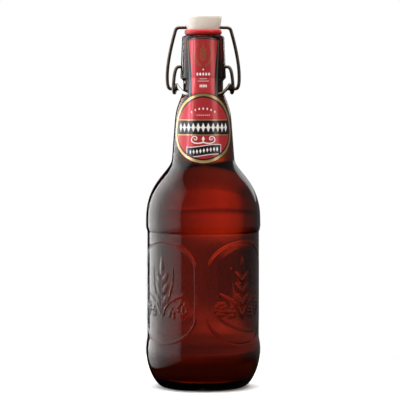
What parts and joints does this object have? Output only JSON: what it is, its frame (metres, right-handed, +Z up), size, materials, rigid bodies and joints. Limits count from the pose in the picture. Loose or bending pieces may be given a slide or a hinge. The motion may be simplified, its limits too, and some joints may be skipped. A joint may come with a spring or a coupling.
{
  "type": "beer bottle with swing-top closure",
  "caption": "Amber glass beer bottle with a wire swing-top closure, ceramic stopper, rubber gasket, neck label and beer inside.",
  "frame": {"origin": "on the ground under the bottle's axis, at the middle of the resting ring", "axes": "+Z up along the bottle's axis; the labels and the lever's hoop face -Y; the wires' pivots lie along X"},
  "size_m": [0.0758, 0.0758, 0.2459],
  "materials": {
    "bottle_glass": "polished amber",
    "beer": "clear red-brown liquid",
    "oval_label": "gloss coated",
    "seal_strip": "gloss coated",
    "stopper": "glazed",
    "gasket": "moulded",
    "bail_wire": "dark drawn wire",
    "lever_wire": "dark drawn wire"
  },
  "bodies": {
    "bottle": {"bottle_glass": "bottle_glass", "beer": "beer", "oval_label": "oval_label", "seal_strip": "seal_strip"},
    "lever": {"lever_wire": "lever_wire"},
    "bail": {"bail_wire": "bail_wire"},
    "stopper": {"stopper": "stopper", "gasket": "gasket"}
  },
  "joints": [
    {"name": "lever_pivot", "type": "hinge", "parent": "bottle", "child": "lever", "pos_m": [0, 0, 0.2116], "axis": [-1, 0, 0], "range_deg": [0, 90], "deforming": ["seal_strip", "oval_label"]},
    {"name": "bail_pivot", "type": "hinge", "parent": "lever", "child": "bail", "pos_m": [0, 0, 0.1971], "axis": [-1, 0, 0], "range_deg": [-59, 0]},
    {"name": "stopper_pivot", "type": "hinge", "parent": "bail", "child": "stopper", "pos_m": [0, 0, 0.2374], "axis": [-1, 0, 0], "range_deg": [-32, 0]}
  ],
  "couplings": [
    {"joint": "bail_pivot", "follows": "lever_pivot", "ratio": -0.65},
    {"joint": "stopper_pivot", "follows": "lever_pivot", "ratio": -0.35}
  ]
}
